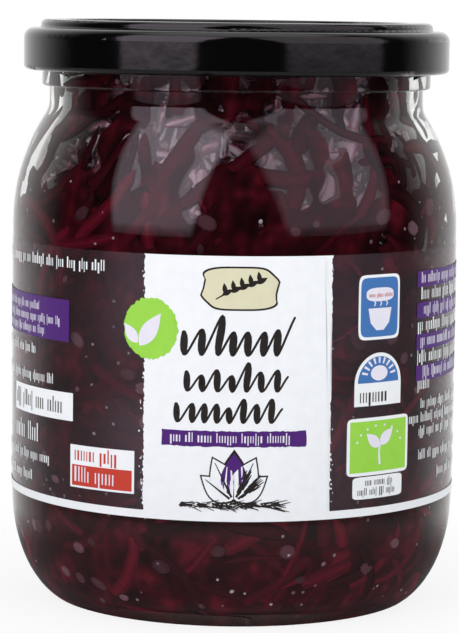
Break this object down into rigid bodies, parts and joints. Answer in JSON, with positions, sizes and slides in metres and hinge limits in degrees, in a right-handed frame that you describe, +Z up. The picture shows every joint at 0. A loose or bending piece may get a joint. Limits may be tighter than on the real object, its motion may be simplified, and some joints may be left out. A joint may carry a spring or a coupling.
{
  "type": "jar of fermented red cabbage",
  "caption": "Shut clear glass jar of shredded fermented red cabbage in dark brine, with a black steel lug cap and a wrap-round film label.",
  "frame": {"origin": "middle of the ring that the jar stands on", "axes": "+Z up along the jar's axis, -Y towards the label's front"},
  "size_m": [0.0892, 0.0892, 0.115],
  "materials": {
    "glass": "clear, glossy",
    "cap_lacquer": "black gloss lacquer on tinplate",
    "label_film": "printed clear film, smooth",
    "cabbage": "wet, dark wine red"
  },
  "bodies": {
    "root": {"jar_glass": "glass", "cap": "cap_lacquer", "label": "label_film", "contents": "cabbage"}
  },
  "joints": []
}
